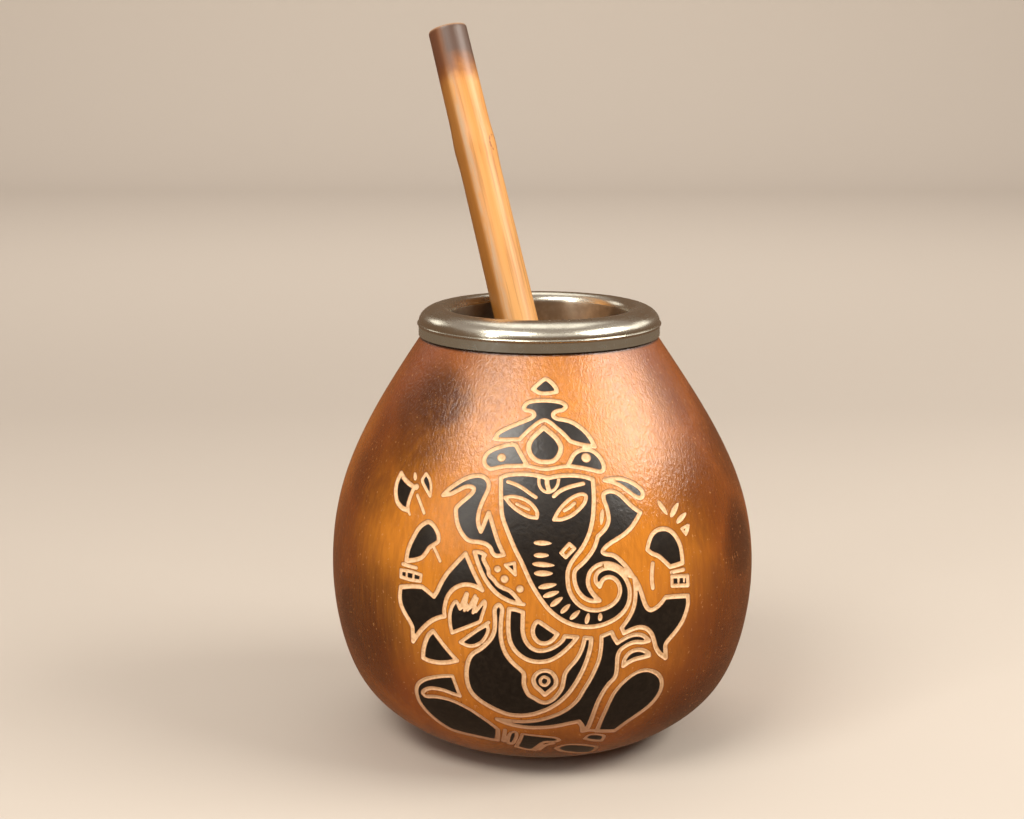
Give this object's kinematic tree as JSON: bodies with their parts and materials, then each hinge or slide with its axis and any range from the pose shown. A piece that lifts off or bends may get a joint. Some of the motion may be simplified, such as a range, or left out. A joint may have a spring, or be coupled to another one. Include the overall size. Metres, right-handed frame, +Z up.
{
  "type": "mate gourd with cane straw",
  "caption": "Hollow varnished gourd cup for mate, with a pressed steel collar on its neck and a cane straw leaning in it.",
  "frame": {"origin": "middle of the flat spot that the gourd stands on", "axes": "+Z up out of the mouth; -Y is the carved front; the straw leans back and to the left, towards +Y and -X"},
  "size_m": [0.0878, 0.0878, 0.1474],
  "materials": {
    "gourd_skin": "varnished gourd skin, toasted brown in soft patches, with a carved and blackened figure",
    "collar_steel": "polished",
    "straw_cane": "satin cane, scorched at the mouth end"
  },
  "bodies": {
    "root": {"gourd_shell": "gourd_skin", "steel_collar": "collar_steel", "cane_straw": "straw_cane"}
  },
  "joints": []
}
